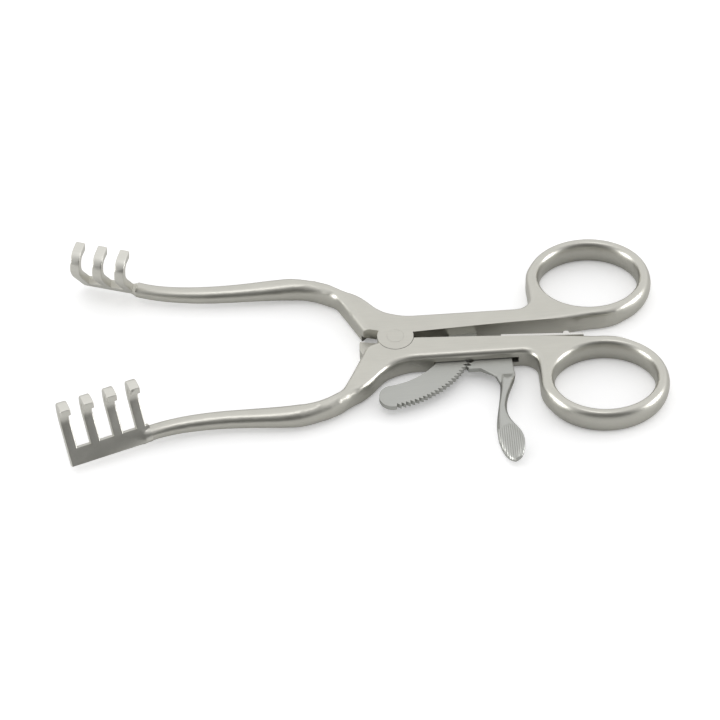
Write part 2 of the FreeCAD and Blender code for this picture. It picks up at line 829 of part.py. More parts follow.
def cut_ratchet_slot(body):
    """The slot through the near shank for the ratchet bar and the release lever, with the pin's bore."""
    half_height = size("ratchet_thickness") / 2 + size("ratchet_side_clearance")
    slot = new_sketch(body, "ratchet_slot", "XZ_Plane")
    low = HALF - half_height
    high = HALF + half_height
    start = size("slot_start_x")
    end = web_start() - size("slot_end_margin")
    outline(slot, [(start, low), (end, low), (end, high), (start, high)])
    pocket(body, slot, size("shank_outer_y") * 1.2)
    bore = new_sketch(body, "lever_pin_bore")
    circle(bore, lever_pin_place(), size("lever_pin_radius"))
    pocket(body, bore, THICKNESS)


def lever_pin_place():
    return size("lever_pin_x"), size("lever_pin_y")


def make_lever():
    body = new_body("release_lever")
    low = ratchet_level()
    thickness = size("ratchet_thickness")
    boss = new_sketch(body, "boss", offset=ORIGIN + (low,))
    circle(boss, lever_pin_place(), size("lever_boss_radius"))
    pad(body, boss, thickness)

    centre = ratchet_centre()
    face = size("ratchet_arc_radius") + size("pawl_tip_clearance") + size("pawl_tooth_depth")
    plate = new_sketch(body, "plate", offset=ORIGIN + (low,))
    pawl_high = polar(centre, face, size("pawl_high_angle"))
    pawl_low = polar(centre, face, size("pawl_low_angle"))
    pawl_toe = polar(centre, face + size("pawl_toe_relief"), size("pawl_toe_angle"))
    pin = lever_pin_place()
    boss_top = (pin[0], pin[1] + size("lever_boss_radius"))
    outline(plate, [
        pawl_high,
        pawl_low,
        pawl_toe,
        (size("pawl_heel_x"), size("pawl_heel_y")),
        (size("lever_throat_x"), size("lever_throat_y")),
        (size("stem_left_x"), size("stem_root_y")),
        (size("stem_root_x"), size("stem_root_y")),
        (size("lever_heel_x"), size("lever_heel_y")),
        (size("lever_back_x"), size("lever_back_y")),
        boss_top,
    ], {0: (face, -1)})
    pad(body, plate, thickness)
    pawl_teeth(body, low, face)

    names = list(STEM_STATIONS)
    sections = []
    for name in names:
        place = (size(f"{name}_x"), HALF, -size(f"{name}_y"))
        section = new_sketch(body, name, "XZ_Plane", place, Vector(0, 0, 1), size(f"{name}_twist_angle"))
        ellipse(section, ORIGIN, size(f"{name}_breadth"), size(f"{name}_thickness"))
        sections.append(section)
    loft(body, "stem", sections)

    bore = new_sketch(body, "bore", offset=ORIGIN + (low,))
    circle(bore, pin, size("lever_pin_radius") + size("lever_bore_clearance"))
    pocket(body, bore, thickness)
    return body


def pawl_teeth(body, low, face):
    """Small teeth on the pawl that point at the gaps of the ratchet bar."""
    centre = ratchet_centre()
    pitch = size("tooth_pitch_angle")
    base = size("pawl_tooth_base_angle")
    for number in range(int(size("pawl_tooth_count").value)):
        middle = size("pawl_first_tooth_angle") + pitch * number
        tooth = new_sketch(body, f"pawl_tooth_{number + 1}", offset=ORIGIN + (low,))
        point = polar(centre, face - size("pawl_tooth_depth"), middle - size("pawl_tooth_lean_angle"))
        root = face + size("pawl_tooth_depth") / 2
        outline(tooth, [
            point,
            polar(centre, face, middle - base / 2),
            polar(centre, root, middle - base / 2),
            polar(centre, root, middle + base / 2),
            polar(centre, face, middle + base / 2),
        ])
        pad(body, tooth, size("ratchet_thickness"))


def along_inner_face(low):
    """A level sketch with x along the near arm's inner face and y out of that face."""
    slope = inner_face_slope()
    turn = Measure(math.degrees(math.atan(slope.value)), f"atan({slope.text})")
    place = (measure(0), -size("inner_face_offset"), low)
    return {"offset": place, "axis": Vector(0, 0, 1), "angle": -turn}


def make_spring():
    """A strip that lies on the near arm's inner face, with its tip bent into the slot."""
    body = new_body("leaf_spring")
    thick = size("spring_thickness")
    start = size("spring_start_x")
    bend = size("spring_bend_x")
    end = size("spring_end_x")
    height = size("spring_height")
    strip = new_sketch(body, "strip", **along_inner_face(HALF - height / 2))
    outline(strip, [(bend, measure(0)), (end, measure(0)), (end, thick), (bend, thick)])
    pad(body, strip, height)
    tip_height = size("spring_tip_height")
    drop = size("spring_tip_drop")
    tip = new_sketch(body, "tip", **along_inner_face(HALF - tip_height / 2))
    outline(tip, [(start, -drop), (bend, measure(0)), (bend + thick, measure(0)),
                  (bend + thick, thick), (bend, thick), (start, thick - drop)])
    pad(body, tip, tip_height)
    play = size("spring_hole_clearance")
    face_hole(body, "screw_hole", size("screw_x"), size("screw_radius") + play, thick, size("screw_rise"))
    face_hole(body, "steady_hole", size("steady_pin_x"), size("steady_pin_radius") + play, thick)
    return body


def face_hole(body, name, along, radius, depth, rise=measure(0)):
    """A round hole through the spring or into the arm, square to the inner face."""
    sketch = new_sketch(body, name, **along_inner_face(HALF + rise))
    level = depth if depth.value > 0 else -depth * 0
    outline(sketch, [(along, level), (along + radius, level), (along + radius, level - depth_of(depth)),
                     (along, level - depth_of(depth))])
    line = sketch.addGeometry(Part.LineSegment(Vector(along.value, 0, 0), Vector(along.value, 1, 0)), True)
    sketch.addConstraint(Sketcher.Constraint("Vertical", line))
    place_point(sketch, line, 1, (along, measure(0)))
    bind(sketch, "Distance", line, to=measure(1))
    groove = body.newObject("PartDesign::Groove", f"{sketch.Name}_cut")
    groove.Profile = sketch
    groove.ReferenceAxis = (sketch, ["Axis0"])
    groove.Angle = 360
    doc.recompute()
    return groove


def depth_of(depth):
    return depth if depth.value > 0 else -depth


def turned_along_face(label, along, corners, rise=measure(0)):
    """A round piece whose axis is square to the inner face, from its half outline."""
    body = new_body(label)
    slope = inner_face_slope()
    turn = Measure(math.degrees(math.atan(slope.value)), f"atan({slope.text})")
    face_x = along * cosine(turn)
    face_y = -size("inner_face_offset") - along * sine(turn)
    place = (face_x, face_y, HALF + rise)
    sketch = new_sketch(body, "half", offset=place, axis=Vector(0, 0, 1), angle=-turn)
    outline(sketch, corners)
    turned(body, sketch)
    return body


def make_spring_screw():
    thick = size("spring_thickness")
    height = size("screw_head_height")
    radius = size("screw_head_radius")
    turned_along_face("spring_screw", size("screw_x"), [
        (measure(0), -size("screw_length")),
        (size("screw_radius"), -size("screw_length")),
        (size("screw_radius"), thick),
        (radius, thick),
        (radius, thick + height * 0.45),
        (radius * 0.85, thick + height * 0.8),
        (radius * 0.45, thick + height),
        (measure(0), thick + height),
    ], size("screw_rise"))


def make_steady_pin():
    top = size("spring_thickness") + size("steady_pin_stand")
    turned_along_face("spring_steady_pin", size("steady_pin_x"), [
        (measure(0), -size("steady_pin_length")),
        (size("steady_pin_radius"), -size("steady_pin_length")),
        (size("steady_pin_radius"), top),
        (measure(0), top),
    ])


def check_model():
    """Stop before anything is written if a feature has failed."""
    for item in doc.Objects:
        if "Invalid" in item.State or "Error" in item.State:
            raise RuntimeError(f"{item.Name} has failed: {item.State}")
    for part in parts():
        shape = part.Shape
        if shape.isNull() or not shape.isValid():
            raise RuntimeError(f"{part.Label} has no valid shape")


def parts():
    return [item for item in doc.Objects if item.TypeId == "PartDesign::Body"]


far_arm = make_arm("far_arm", FAR)
cut_ratchet_seat(far_arm)
near_arm = make_arm("near_arm", NEAR)
cut_ratchet_slot(near_arm)
face_hole(near_arm, "screw_hole", size("screw_x"), size("screw_radius"), -size("screw_length"),
          size("screw_rise"))
face_hole(near_arm, "steady_hole", size("steady_pin_x"), size("steady_pin_radius"), -size("steady_pin_length"))
make_blade("far_prong_blade", FAR, "far_prong_count")
make_blade("near_prong_blade", NEAR, "near_prong_count")
make_rivet()
make_ratchet()
make_ratchet_pins()
make_lever()
upright_pin("lever_pin", lever_pin_place(), size("lever_pin_radius"), measure(0), THICKNESS)
make_spring()
make_spring_screw()
make_steady_pin()
doc.recompute()
check_model()
os.makedirs("parts", exist_ok=True)
for part in parts():
    part.Shape.exportStep(f"parts/{part.Label}.step")
    print(part.Label, round(part.Shape.Volume, 1), len(part.Shape.Solids), part.Shape.BoundBox)
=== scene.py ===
import json
import math

import bmesh
import bpy
from mathutils import Matrix, Vector


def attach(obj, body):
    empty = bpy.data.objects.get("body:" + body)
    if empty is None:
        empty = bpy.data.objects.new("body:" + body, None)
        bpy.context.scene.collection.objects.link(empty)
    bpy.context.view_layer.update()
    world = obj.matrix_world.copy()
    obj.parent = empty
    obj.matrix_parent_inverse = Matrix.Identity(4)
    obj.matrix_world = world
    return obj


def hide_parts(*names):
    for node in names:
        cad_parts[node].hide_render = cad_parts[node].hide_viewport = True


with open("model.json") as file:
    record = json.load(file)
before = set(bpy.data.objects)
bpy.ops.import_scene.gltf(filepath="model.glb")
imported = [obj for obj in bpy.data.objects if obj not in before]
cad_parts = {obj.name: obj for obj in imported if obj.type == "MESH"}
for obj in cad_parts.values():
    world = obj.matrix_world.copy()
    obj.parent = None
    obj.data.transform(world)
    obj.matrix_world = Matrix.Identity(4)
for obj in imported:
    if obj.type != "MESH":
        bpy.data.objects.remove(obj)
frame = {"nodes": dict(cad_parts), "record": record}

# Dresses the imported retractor: satin steel on every piece, round finger rings, soft elbows, the
# ribs of the thumb pad, and a white table under soft light.
# Everything is in metres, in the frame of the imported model.

bl_info = {
    "name": "Self Retaining Retractor",
    "version": (1, 0, 0),
    "blender": (4, 5, 0),
    "location": "View3D > Sidebar > Retractor",
    "description": "Dresses a self retaining retractor and sets its table, light and camera",
    "category": "Object",
}

NODES = frame["nodes"]
RECORD = frame["record"]
BODY_OF = {node: body for body, nodes in RECORD["behaviour"]["bodies"].items() for node in nodes}


class SteelFinish(bpy.types.PropertyGroup):
    """Colours and roughness of the steel surfaces."""
    satin_colour: bpy.props.FloatVectorProperty(
        name="Satin steel", description="Colour of the blasted and polished arms",
        subtype="COLOR", size=3, min=0, max=1, default=(0.60, 0.59, 0.54))
    blade_colour: bpy.props.FloatVectorProperty(
        name="Blade steel", description="Colour of the prong blades",
        subtype="COLOR", size=3, min=0, max=1, default=(0.71, 0.70, 0.65))
    # A neutral grey of its own, made darker than the arms as painted shade, where the bar and the
    # lever sit lower than the shanks
    ratchet_tone_and_shade: bpy.props.FloatVectorProperty(
        name="Ratchet steel", description="Colour of the toothed bar and the release lever",
        subtype="COLOR", size=3, min=0, max=1, default=(0.49, 0.495, 0.47))
    bright_colour: bpy.props.FloatVectorProperty(
        name="Bright steel", description="Colour of the spring and its screw",
        subtype="COLOR", size=3, min=0, max=1, default=(0.72, 0.71, 0.68))
    satin_roughness: bpy.props.FloatProperty(
        name="Satin roughness", description="Roughness of the satin surfaces",
        subtype="FACTOR", min=0, max=1, default=0.35)
    ground_roughness: bpy.props.FloatProperty(
        name="Ground roughness", description="Roughness of the flat ground faces",
        subtype="FACTOR", min=0, max=1, default=0.46)
    grain_size: bpy.props.FloatProperty(
        name="Grain size", description="Width of one grain of the blasted surface",
        unit="LENGTH", min=0.00001, max=0.01, default=0.00022)
    grain_height: bpy.props.FloatProperty(
        name="Grain height", description="How strongly the grain shows",
        subtype="FACTOR", min=0, max=1, default=0.10)


class PieceSizes(bpy.types.PropertyGroup):
    """Sizes of the ribs, and the angle that parts round from crisp edges."""
    rib_pitch: bpy.props.FloatProperty(
        name="Rib pitch", description="Distance between two ribs of the thumb pad",
        unit="LENGTH", min=0.0002, max=0.003, default=0.00045)
    rib_depth: bpy.props.FloatProperty(
        name="Rib depth", description="Depth of the grooves between the ribs",
        unit="LENGTH", min=0.00002, max=0.0005, default=0.00016)
    smooth_angle: bpy.props.FloatProperty(
        name="Smooth angle", description="Edges that turn by less than this are shaded smooth",
        subtype="ANGLE", min=0, max=math.pi, default=math.radians(32))


class StageLook(bpy.types.PropertyGroup):
    """The table, the lights and the camera."""
    table_colour: bpy.props.FloatVectorProperty(
        name="Table", description="Colour of the table",
        subtype="COLOR", size=3, min=0, max=1, default=(0.93, 0.93, 0.935))
    table_glow: bpy.props.FloatProperty(
        name="Table glow", description="Light that lifts the table to white",
        min=0, max=2, default=0.24)
    bounce_colour: bpy.props.FloatVectorProperty(
        name="Bounce", description="Colour of the table as the steel reflects it",
        subtype="COLOR", size=3, min=0, max=1, default=(0.70, 0.70, 0.69))
    key_power: bpy.props.FloatProperty(
        name="Overhead light", description="Power of the light above the table",
        unit="POWER", min=0, max=100, default=0.6)
    side_power: bpy.props.FloatProperty(
        name="Side lights", description="Power of each light at the sides",
        unit="POWER", min=0, max=100, default=2.2)
    focal_length: bpy.props.FloatProperty(
        name="Focal length", description="Focal length of the camera in millimetres",
        min=10, max=500, default=139.425)


def finish_values():
    return bpy.context.scene.retractor_finish


def size_values():
    return bpy.context.scene.retractor_sizes


def stage_values():
    return bpy.context.scene.retractor_stage


def socket(group, name, way, kind, value=None):
    made = group.interface.new_socket(name=name, in_out=way, socket_type=kind)
    if value is not None:
        made.default_value = value
    return made


def link(tree, start, end):
    tree.links.new(start, end)


LEVEL_START, LEVEL_FULL = 0.97, 0.999   # the ground finish comes in as the normal turns upright
CLOUD_SCALE = 170.0                     # clouds of wear per metre
CLOUD_SHADE = (0.93, 1.05)              # how dark and how light a cloud makes the colour
CLOUD_ROUGHNESS = 0.05                  # how much rougher or smoother a cloud makes the surface
BRUSH_SCALE = (150.0, 5200.0, 5200.0)   # brush lines per metre, long along X
BRUSH_SHADE = 0.06                      # how much a brush line lightens or darkens the colour
GRAIN_DEPTH = 0.00004


def blasted_steel_group():
    """Node group: grain, brush lines and cloudy wear of blasted steel, ground on level faces."""
    name = "Blasted Steel Surface"
    if name in bpy.data.node_groups:
        return bpy.data.node_groups[name]
    group = bpy.data.node_groups.new(name, "ShaderNodeTree")
    socket(group, "Colour", "INPUT", "NodeSocketColor", (0.5, 0.5, 0.5, 1))
    socket(group, "Grain Size", "INPUT", "NodeSocketFloat", 0.0002)
    socket(group, "Grain Height", "INPUT", "NodeSocketFloat", 0.1)
    socket(group, "Satin Roughness", "INPUT", "NodeSocketFloat", 0.36)
    socket(group, "Ground Roughness", "INPUT", "NodeSocketFloat", 0.46)
    socket(group, "Colour", "OUTPUT", "NodeSocketColor")
    socket(group, "Roughness", "OUTPUT", "NodeSocketFloat")
    socket(group, "Normal", "OUTPUT", "NodeSocketVector")
    nodes = group.nodes
    inputs = nodes.new("NodeGroupInput")
    outputs = nodes.new("NodeGroupOutput")
    place = nodes.new("ShaderNodeTexCoord")
    face = nodes.new("ShaderNodeNewGeometry")

    # Level faces are ground: the mask is 1 where the surface looks straight up or down
    split = nodes.new("ShaderNodeSeparateXYZ")
    link(group, face.outputs["Normal"], split.inputs[0])
    height = nodes.new("ShaderNodeMath")
    height.operation = "ABSOLUTE"
    link(group, split.outputs["Z"], height.inputs[0])
    level = nodes.new("ShaderNodeMapRange")
    level.inputs["From Min"].default_value = LEVEL_START
    level.inputs["From Max"].default_value = LEVEL_FULL
    link(group, height.outputs[0], level.inputs["Value"])

    # Fine grain for the bump, coarse clouds for colour and roughness
    frequency = nodes.new("ShaderNodeMath")
    frequency.operation = "DIVIDE"
    frequency.inputs[0].default_value = 1.0
    link(group, inputs.outputs["Grain Size"], frequency.inputs[1])
    grain = nodes.new("ShaderNodeTexNoise")
    grain.inputs["Detail"].default_value = 2.0
    link(group, place.outputs["Object"], grain.inputs["Vector"])
    link(group, frequency.outputs[0], grain.inputs["Scale"])
    clouds = nodes.new("ShaderNodeTexNoise")
    clouds.inputs["Scale"].default_value = CLOUD_SCALE
    clouds.inputs["Detail"].default_value = 4.0
    link(group, place.outputs["Object"], clouds.inputs["Vector"])

    # Brush lines along the instrument
    stretch = nodes.new("ShaderNodeVectorMath")
    stretch.operation = "MULTIPLY"
    stretch.inputs[1].default_value = BRUSH_SCALE
    link(group, place.outputs["Object"], stretch.inputs[0])
    brush = nodes.new("ShaderNodeTexNoise")
    brush.inputs["Scale"].default_value = 1.0
    brush.inputs["Detail"].default_value = 3.0
    link(group, stretch.outputs["Vector"], brush.inputs["Vector"])
    lines = nodes.new("ShaderNodeMapRange")
    lines.inputs["To Min"].default_value = -BRUSH_SHADE
    lines.inputs["To Max"].default_value = BRUSH_SHADE
    link(group, brush.outputs["Fac"], lines.inputs["Value"])

    bump = nodes.new("ShaderNodeBump")
    bump.inputs["Distance"].default_value = GRAIN_DEPTH
    link(group, inputs.outputs["Grain Height"], bump.inputs["Strength"])
    link(group, grain.outputs["Fac"], bump.inputs["Height"])
    link(group, bump.outputs["Normal"], outputs.inputs["Normal"])

    base = nodes.new("ShaderNodeMix")
    link(group, level.outputs["Result"], base.inputs[0])
    link(group, inputs.outputs["Satin Roughness"], base.inputs[2])
    link(group, inputs.outputs["Ground Roughness"], base.inputs[3])
    cloudy = nodes.new("ShaderNodeMapRange")
    cloudy.inputs["To Min"].default_value = -CLOUD_ROUGHNESS
    cloudy.inputs["To Max"].default_value = CLOUD_ROUGHNESS
    link(group, clouds.outputs["Fac"], cloudy.inputs["Value"])
    total = nodes.new("ShaderNodeMath")
    total.operation = "ADD"
    link(group, base.outputs[0], total.inputs[0])
    link(group, cloudy.outputs["Result"], total.inputs[1])
    link(group, total.outputs[0], outputs.inputs["Roughness"])

    shade = nodes.new("ShaderNodeMapRange")
    shade.inputs["To Min"].default_value, shade.inputs["To Max"].default_value = CLOUD_SHADE
    link(group, clouds.outputs["Fac"], shade.inputs["Value"])
    lined = nodes.new("ShaderNodeMath")
    lined.operation = "ADD"
    link(group, shade.outputs["Result"], lined.inputs[0])
    link(group, lines.outputs["Result"], lined.inputs[1])
    tint = nodes.new("ShaderNodeVectorMath")
    tint.operation = "SCALE"
    link(group, inputs.outputs["Colour"], tint.inputs[0])
    link(group, lined.outputs[0], tint.inputs["Scale"])
    link(group, tint.outputs["Vector"], outputs.inputs["Colour"])
    return group


def steel_material(name, colour, satin, ground):
    """A metal whose colour, roughness and grain come from the blasted steel group."""
    material = bpy.data.materials.get(name) or bpy.data.materials.new(name)
    material.use_nodes = True
    tree = material.node_tree
    tree.nodes.clear()
    values = finish_values()
    out = tree.nodes.new("ShaderNodeOutputMaterial")
    shader = tree.nodes.new("ShaderNodeBsdfPrincipled")
    shader.inputs["Metallic"].default_value = 1.0
    surface = tree.nodes.new("ShaderNodeGroup")
    surface.node_tree = blasted_steel_group()
    surface.inputs["Colour"].default_value = (*colour, 1)
    surface.inputs["Grain Size"].default_value = values.grain_size
    surface.inputs["Grain Height"].default_value = values.grain_height
    surface.inputs["Satin Roughness"].default_value = satin
    surface.inputs["Ground Roughness"].default_value = ground
    link(tree, surface.outputs["Colour"], shader.inputs["Base Color"])
    link(tree, surface.outputs["Roughness"], shader.inputs["Roughness"])
    link(tree, surface.outputs["Normal"], shader.inputs["Normal"])
    link(tree, shader.outputs[0], out.inputs[0])
    return material


def satin_steel():
    values = finish_values()
    return steel_material("Satin Arm Steel", values.satin_colour, values.satin_roughness,
                          values.ground_roughness)


def blade_steel():
    values = finish_values()
    return steel_material("Prong Blade Steel", values.blade_colour, values.satin_roughness,
                          values.satin_roughness)


def ratchet_steel():
    values = finish_values()
    # The colour holds painted shade: darker than the arms where the bar and the lever sit low, on
    # top of their own neutral grey
    return steel_material("Ratchet Steel", values.ratchet_tone_and_shade, values.satin_roughness,
                          values.ground_roughness)


def pin_steel():
    values = finish_values()
    return steel_material("Flush Pin Steel", values.satin_colour, values.satin_roughness,
                          values.ground_roughness)


SPRING_ROUGHNESS, SPRING_FLAT_ROUGHNESS = 0.2, 0.24


def bright_steel():
    return steel_material("Bright Spring Steel", finish_values().bright_colour, SPRING_ROUGHNESS,
                          SPRING_FLAT_ROUGHNESS)


def new_object(name, mesh, node, material):
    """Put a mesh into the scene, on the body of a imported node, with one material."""
    made = bpy.data.objects.new(name, mesh)
    bpy.context.scene.collection.objects.link(made)
    mesh.materials.clear()
    mesh.materials.append(material)
    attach(made, BODY_OF[node])
    return made


def mark_sharp_edges(mesh, soft_zone=None):
    """Shade the mesh smooth, but for the edges where its faces turn by more than the smooth angle.

    No edge of the soft zone is crisp.
    """
    shape = bmesh.new()
    shape.from_mesh(mesh)
    limit = size_values().smooth_angle
    for face in shape.faces:
        face.smooth = True
    for edge in shape.edges:
        soft = soft_zone is not None and all(soft_zone(vert.co) for vert in edge.verts)
        if len(edge.link_faces) == 2:
            edge.smooth = soft or edge.calc_face_angle(0) < limit
    shape.to_mesh(mesh)
    shape.free()


MERGE_DISTANCE = 0.000002
SLIVER = 0.000001


def smooth_piece(node, material):
    """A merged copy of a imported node, smooth where it is round and crisp at its real edges."""
    shape = bmesh.new()
    shape.from_mesh(NODES[node].data)
    bmesh.ops.remove_doubles(shape, verts=shape.verts, dist=MERGE_DISTANCE)
    bmesh.ops.dissolve_degenerate(shape, dist=SLIVER, edges=shape.edges)
    mesh = bpy.data.meshes.new(f"smooth_{node}")
    shape.to_mesh(mesh)
    shape.free()
    mark_sharp_edges(mesh)
    made = new_object(f"dressed_{node}", mesh, node, material)
    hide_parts(node)
    return made


MOST_CUTS = 4     # how often a long edge of a zone is halved at most
FADE_STEPS = 8    # the zone's border draws in by one grain at each step, then starts again


def relax_zone(mesh, inside, grain, rounds, heights_only=False):
    """Refine the faces of a zone and relax them, so that its creases blend as on a forged piece.

    The rounds reach less and less far in turn, so that the zone has no visible end. With
    heights_only the outline stays, and the upper edges sink into a wide round.
    """
    shape = bmesh.new()
    shape.from_mesh(mesh)
    for _ in range(MOST_CUTS):
        long_edges = [edge for edge in shape.edges
                      if edge.calc_length() > grain and all(inside(vert.co) for vert in edge.verts)]
        if not long_edges:
            break
        bmesh.ops.subdivide_edges(shape, edges=long_edges, cuts=1)
        bmesh.ops.triangulate(shape, faces=[face for face in shape.faces if len(face.verts) > 3])
    zones = [[vert for vert in shape.verts if inside(vert.co, step * grain)]
             for step in range(FADE_STEPS)]
    for number in range(rounds):
        bmesh.ops.smooth_vert(shape, verts=zones[number % FADE_STEPS], factor=0.5,
                              use_axis_x=not heights_only, use_axis_y=not heights_only,
                              use_axis_z=True)
    shape.to_mesh(mesh)
    shape.free()


def clamp(value):
    return min(max(value, 0), 1)


PLANE_TOLERANCE = 0.0000005


def cut_faces(shape, faces, place, direction):
    """Cut some faces of a mesh along a plane, and leave the rest whole."""
    near = faces + list({edge for face in faces for edge in face.edges})
    near += list({vert for face in faces for vert in face.verts})
    bmesh.ops.bisect_plane(shape, geom=near, dist=PLANE_TOLERANCE, plane_co=place,
                           plane_no=direction)


RING_CENTRE = (0.0469, 0.0161)
RING_HOLE = (0.0115, 0.0096)     # half the length and half the width of the hole
RING_WALL = 0.0033
RING_REACH = 0.0165              # the ring lies within this distance of its centre
RING_MARGIN = 0.1                # how far a point may lie outside the wall, in walls
RING_CUTS = range(-4, 5)         # the wall is cut at these levels above and below its middle
RING_CUT_PITCH = 0.0004
HALF_HEIGHT = 0.00315
STRAIGHT_SHARE = 0.5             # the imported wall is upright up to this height, and round beyond
LEAST_WIDTH = 0.35               # the narrowest that the oval section may get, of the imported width
LEAST_SQUARE = 0.001             # keeps the root above 0 at the very top of the wall
UPRIGHT = 0.2                    # a face is part of the wall if its normal is more level than this
SHARE_RANGE = (-0.5, 2.0)        # where the search for a point's share starts
HALVINGS = 24                    # how often that search halves its range
SHANK_START, SHANK_END, SHANK_BLEND = 172, 292, 14   # degrees round the ring, at the shank


def ring_radii(share):
    """Half the length and half the width of the ring's outline, at a share of its wall."""
    return RING_HOLE[0] + RING_WALL * share, RING_HOLE[1] + RING_WALL * share


def ring_share(x, y):
    """How far a point lies across the ring's wall: 0 at the hole, 1 at the outside."""
    low, high = SHARE_RANGE
    for _ in range(HALVINGS):
        share = (low + high) / 2
        across, up = ring_radii(share)
        if (x / across) ** 2 + (y / up) ** 2 > 1:
            low = share
        else:
            high = share
    return (low + high) / 2


def outside_is_free(x, y):
    """1 where the ring stands free, 0 where the shank runs into it."""
    angle = math.degrees(math.atan2(y, x)) % 360
    if angle < SHANK_START:
        return min((SHANK_START - angle) / SHANK_BLEND, 1)
    if angle > SHANK_END:
        return min((angle - SHANK_END) / SHANK_BLEND, 1)
    return 0


def packed_width(height):
    """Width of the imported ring's section at a height of 0 to 1 from its middle."""
    if height < STRAIGHT_SHARE:
        return 1
    beyond = (height - STRAIGHT_SHARE) / (1 - STRAIGHT_SHARE)
    return math.sqrt(max(1 - beyond ** 2, LEAST_SQUARE))


def round_ring(mesh, side):
    """Give the ring the full oval section of a polished finger ring."""
    shape = bmesh.new()
    shape.from_mesh(mesh)

    def local(point):
        return point.x - RING_CENTRE[0], point.y * side - RING_CENTRE[1]

    def in_wall(share):
        return -RING_MARGIN < share < 1 + RING_MARGIN

    for number in RING_CUTS:
        walls = [face for face in shape.faces if abs(face.normal.z) < UPRIGHT
                 and in_wall(ring_share(*local(face.calc_center_median())))]
        cut_faces(shape, walls, (0, 0, HALF_HEIGHT + number * RING_CUT_PITCH), (0, 0, 1))
    for vert in shape.verts:
        x, y = local(vert.co)
        if math.hypot(x, y) > RING_REACH:
            continue
        share = ring_share(x, y)
        if not in_wall(share):
            continue
        freedom = 1 if share < 0.5 else outside_is_free(x, y)
        height = min(abs(vert.co.z - HALF_HEIGHT) / HALF_HEIGHT, 1)
        oval_width = math.sqrt(1 - height ** 2)
        factor = max(min(oval_width / packed_width(height), 1), LEAST_WIDTH)
        across, up = ring_radii(share)
        outward = Vector((x / across ** 2, y / up ** 2 * side, 0)).normalized()
        vert.co += outward * ((share - 0.5) * RING_WALL * (factor - 1) * freedom)
    shape.to_mesh(mesh)
    shape.free()


PAD_TOP = -0.0272
THUMB_SIDE = Vector((-0.74, -0.05, 0.67)).normalized()
FACING_LEAST = 0.1                       # faces that look at the thumb by less than this stay uncut
FACING_START, FACING_FADE = 0.25, 0.35   # the grooves deepen from here, over this range
TOP_FADE = 0.0012


def cut_pad_ribs(mesh):
    """Cut V grooves into the side of the pad that faces the thumb, fading out at its top end."""
    pitch, depth = size_values().rib_pitch, size_values().rib_depth
    shape = bmesh.new()
    shape.from_mesh(mesh)
    low = min(vert.co.x for vert in shape.verts if vert.co.y < PAD_TOP)
    high = max(vert.co.x for vert in shape.verts if vert.co.y < PAD_TOP)
    for number in range(int(low / pitch) * 2, int(high / pitch) * 2 + 3):
        faces = [face for face in shape.faces if face.calc_center_median().y < PAD_TOP
                 and face.normal.dot(THUMB_SIDE) > FACING_LEAST]
        cut_faces(shape, faces, (number * pitch / 2, 0, 0), (1, 0, 0))
    shape.normal_update()
    moves = []
    for vert in shape.verts:
        facing_share = clamp((vert.normal.dot(THUMB_SIDE) - FACING_START) / FACING_FADE)
        top_share = clamp((PAD_TOP - vert.co.y) / TOP_FADE)
        phase = (vert.co.x / pitch) % 1
        wave = 1 - abs(phase * 2 - 1)
        moves.append((vert, THUMB_SIDE * (-depth * wave * facing_share * top_share)))
    for vert, move in moves:
        vert.co += move
    shape.to_mesh(mesh)
    shape.free()


ELBOW_X, CROWN_X = (-0.0230, 0.0020), (-0.0160, 0.0030)
ELBOW_Y = 0.0072                         # both zones lie further out than this
ELBOW_GRAIN, ELBOW_ROUNDS, CROWN_ROUNDS = 0.0006, 44, 24
SHOULDER_X, SHOULDER_Y = 0.0212, (-0.0175, -0.0112)
SHOULDER_GRAIN, SHOULDER_ROUNDS = 0.0004, 10


def in_elbow(point, margin=0):
    """The bend where a round bar runs into the flat of its arm."""
    return (ELBOW_X[0] + margin < point.x < ELBOW_X[1] - margin
            and abs(point.y) > ELBOW_Y + margin / 2)


def in_crown(point, margin=0):
    """The flat part of the bend, whose upper edges are widely rounded."""
    return (CROWN_X[0] + margin < point.x < CROWN_X[1] - margin
            and abs(point.y) > ELBOW_Y + margin / 2)


def in_shoulder(point, margin=0):
    """The place where the lever's stem leaves its plate."""
    return (SHOULDER_Y[0] + margin < point.y < SHOULDER_Y[1] - margin
            and point.x > SHOULDER_X + margin)


HOOK_START, HOOK_RISE = 0.0122, 0.0045
HOOK_SHIFT = Vector((0.00044, 0.00127, 0))


def reach_out(mesh):
    """Lean the far hooks a little further outward, more and more towards their tips."""
    shape = bmesh.new()
    shape.from_mesh(mesh)
    for vert in shape.verts:
        vert.co += HOOK_SHIFT * clamp((vert.co.z - HOOK_START) / HOOK_RISE)
    shape.to_mesh(mesh)
    shape.free()


class DressArms(bpy.types.Operator):
    """Make both arms of satin steel, ground flat on their level faces"""
    bl_idname = "retractor.arms"
    bl_label = "Arms"

    def execute(self, context):
        for node, side in (("far_arm", 1), ("near_arm", -1)):
            arm = smooth_piece(node, satin_steel())
            relax_zone(arm.data, in_elbow, ELBOW_GRAIN, ELBOW_ROUNDS)
            relax_zone(arm.data, in_crown, ELBOW_GRAIN, CROWN_ROUNDS, heights_only=True)
            round_ring(arm.data, side)
            mark_sharp_edges(arm.data, soft_zone=in_elbow)
        return {"FINISHED"}


class DressBlades(bpy.types.Operator):
    """Make both prong blades"""
    bl_idname = "retractor.blades"
    bl_label = "Prong blades"

    def execute(self, context):
        for node in ("far_prong_blade", "near_prong_blade"):
            blade = smooth_piece(node, blade_steel())
            if node == "far_prong_blade":
                reach_out(blade.data)
            mark_sharp_edges(blade.data)
        return {"FINISHED"}


class DressJoint(bpy.types.Operator):
    """Make the rivet and the flush pins"""
    bl_idname = "retractor.joint"
    bl_label = "Rivet and pins"

    def execute(self, context):
        for node in ("pivot_rivet", "ratchet_pins", "lever_pin"):
            smooth_piece(node, pin_steel())
        return {"FINISHED"}


